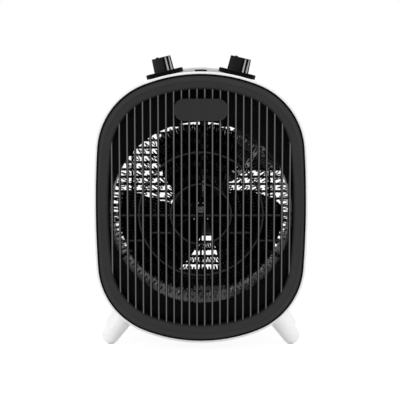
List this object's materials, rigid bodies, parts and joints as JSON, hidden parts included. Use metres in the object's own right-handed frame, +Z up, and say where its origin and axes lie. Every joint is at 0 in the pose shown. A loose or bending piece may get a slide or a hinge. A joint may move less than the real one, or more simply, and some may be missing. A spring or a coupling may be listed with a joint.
{
  "type": "fan heater",
  "caption": "Compact upright fan heater: louvred front and back, wire heating coils round a duct, an axial fan, turning dials on top, a rear carry handle and peg feet.",
  "frame": {"origin": "on the floor, under the middle of the heater's box", "axes": "+X to the right as seen from the front, +Y to the back, +Z up"},
  "size_m": [0.215, 0.1324, 0.2986],
  "materials": {
    "shell_white": "fine satin, moulded",
    "foot_white": "satin, moulded",
    "grille_black": "satin black, moulded",
    "cover_black": "satin black, moulded",
    "dial_black": "satin black, moulded",
    "lamp_dark": "dark smoked lens, unlit",
    "baffle_black": "matt black",
    "handle_grey": "satin, moulded",
    "duct_steel": "rolled sheet, blackened by heat",
    "mica": "pressed mica sheet, smoked",
    "element_wire": "drawn resistance wire",
    "element_wire_dark": "resistance wire, darkened by heat",
    "lug_metal": "tinned strip, dulled by heat",
    "pointer_grey": "satin, moulded",
    "cutout_dark": "moulded insulator",
    "cutout_steel": "rolled sheet, dulled by heat",
    "hub_ceramic": "dark fired body",
    "fan_black": "matt black",
    "shaft_steel": "ground",
    "core_iron": "bare lamination edges",
    "bobbin_plastic": "moulded",
    "winding_copper": "varnished winding",
    "bracket_steel": "zinc plated",
    "bearing_bronze": "sintered bronze",
    "screw_steel": "zinc plated",
    "bush_brass": "turned",
    "control_dark": "moulded insulator",
    "leaf_metal": "rolled bimetal",
    "pad_rubber": "soft rubber",
    "gland_rubber": "moulded rubber",
    "block_plastic": "moulded"
  },
  "bodies": {
    "casing": {"front_grille": "grille_black", "housing_shell": "shell_white", "rear_cover": "cover_black", "baffle_plate": "baffle_black", "heat_duct": "duct_steel", "mica_plate_top": "mica", "mica_plate_left": "mica", "mica_plate_right": "mica", "element_hub": "hub_ceramic", "hub_rivets": "screw_steel", "heating_coil_outer": "element_wire", "heating_coil_second": "element_wire_dark", "heating_coil_third": "element_wire_dark", "heating_coil_fourth": "element_wire_dark", "heating_coil_inner": "element_wire_dark", "element_lugs": "lug_metal", "cutout_bracket": "cutout_steel", "thermal_cutout": "cutout_dark", "thermal_fuse": "bracket_steel", "motor_core": "core_iron", "motor_bobbin": "bobbin_plastic", "motor_winding": "winding_copper", "motor_bracket_front": "bracket_steel", "motor_bracket_rear": "bracket_steel", "bearing_front": "bearing_bronze", "bearing_rear": "bearing_bronze", "motor_screws": "screw_steel", "thermostat_bush": "bush_brass", "thermostat_nut": "bush_brass", "thermostat_body": "control_dark", "thermostat_leaf": "leaf_metal", "selector_bush": "bush_brass", "selector_nut": "bush_brass", "selector_body": "control_dark", "lamp_lens": "lamp_dark", "lamp_holder": "block_plastic", "carry_handle": "handle_grey", "handle_screws": "screw_steel", "handle_well": "shell_white", "foot_front_left": "foot_white", "foot_front_right": "foot_white", "foot_rear_left": "foot_white", "foot_rear_right": "foot_white", "foot_pads": "pad_rubber", "foot_screws": "screw_steel", "grille_screws": "screw_steel", "cover_screws": "screw_steel", "cord_gland": "gland_rubber", "gland_nut": "control_dark", "terminal_block": "block_plastic"},
    "fan_rotor": {"fan": "fan_black", "fan_clip": "screw_steel", "motor_shaft": "shaft_steel", "motor_rotor": "core_iron"},
    "thermostat": {"thermostat_dial": "dial_black", "thermostat_pointer": "pointer_grey", "thermostat_spindle": "shaft_steel"},
    "selector": {"selector_dial": "dial_black", "selector_pointer": "pointer_grey", "selector_spindle": "shaft_steel"}
  },
  "joints": [
    {"name": "fan_spin", "type": "hinge", "parent": "casing", "child": "fan_rotor", "pos_m": [0, -0.00025, 0.1393], "axis": [0, -1, 0], "continuous": true},
    {"name": "thermostat_turn", "type": "hinge", "parent": "casing", "child": "thermostat", "pos_m": [-0.03638, -0.01425, 0.27665], "axis": [0.2334, 0, -0.9724], "range_deg": [0, 270]},
    {"name": "selector_turn", "type": "hinge", "parent": "casing", "child": "selector", "pos_m": [0.03638, -0.01425, 0.27665], "axis": [-0.2334, 0, -0.9724], "range_deg": [0, 135]}
  ]
}
